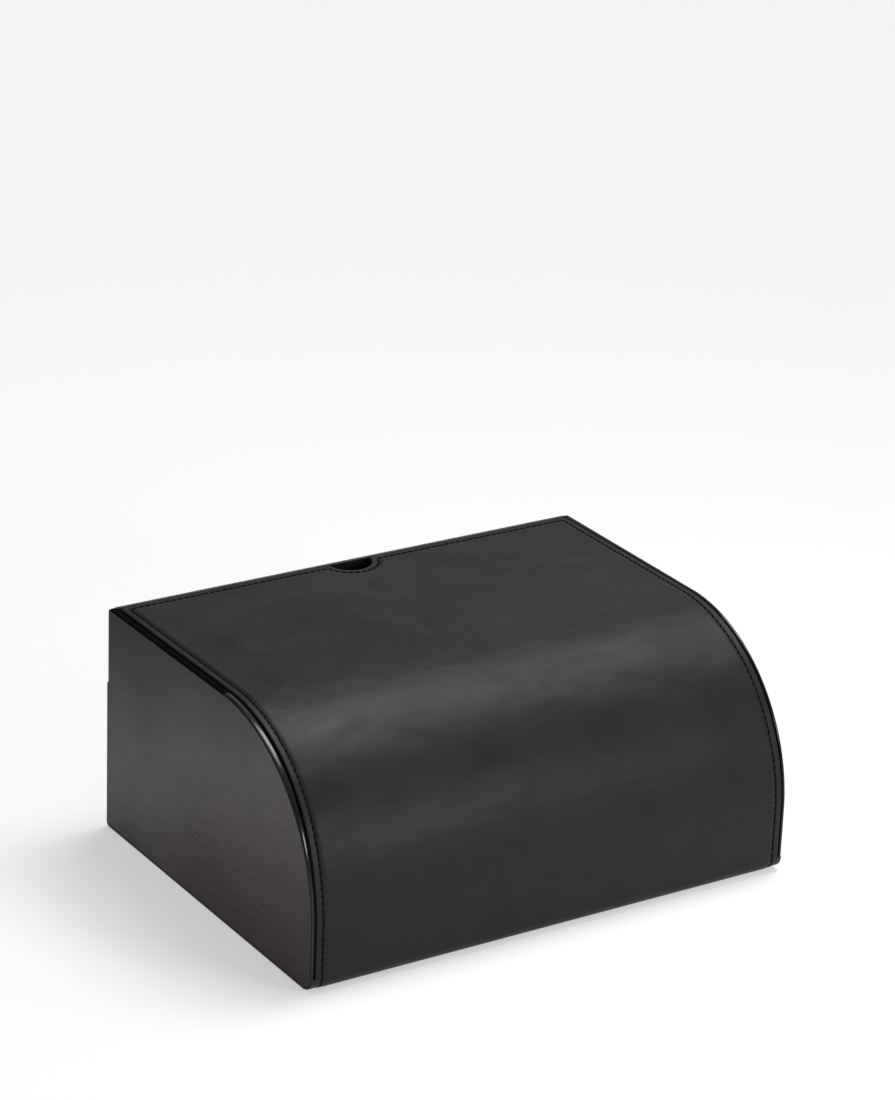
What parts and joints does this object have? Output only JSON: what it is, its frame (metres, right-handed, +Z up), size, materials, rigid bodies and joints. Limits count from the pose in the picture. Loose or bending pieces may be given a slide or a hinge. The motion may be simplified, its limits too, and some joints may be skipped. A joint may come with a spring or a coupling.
{
  "type": "stationery box",
  "caption": "Box for letters and pens with quarter-round side panels and a leather lid that swings forward about a fold at the bottom front edge.",
  "frame": {"origin": "middle of the footprint, on the surface that the box stands on", "axes": "+X to the right of someone facing the lid's front, +Y to the rear, +Z up"},
  "size_m": [0.33, 0.247, 0.146],
  "materials": {
    "leather": "smooth, semi-gloss black",
    "welt": "painted edge",
    "panel_wood": "black stain, satin faces, polished edges",
    "board": "bare board",
    "suede": "suede cloth",
    "divider_leather": "smooth black",
    "tray_wood": "black stain, satin"
  },
  "bodies": {
    "case": {"side_panel_left": "panel_wood", "side_panel_right": "panel_wood", "back_panel": "panel_wood", "base_board": "board", "front_nosing": "board", "wrap_leather": "leather", "side_liner_left": "suede", "side_liner_right": "suede", "back_liner": "suede", "floor_liner": "suede", "divider_front": "divider_leather", "divider_middle": "divider_leather", "divider_rear": "divider_leather", "pen_tray": "tray_wood"},
    "lid": {"lid_leather": "leather", "lid_core": "board", "lid_welt_left": "welt", "lid_welt_right": "welt", "lid_welt_rear": "welt", "lid_lining": "suede"}
  },
  "joints": [
    {"name": "lid_hinge", "type": "hinge", "parent": "case", "child": "lid", "pos_m": [0, -0.121, 0.0025], "axis": [1, 0, 0], "range_deg": [0, 90]}
  ]
}
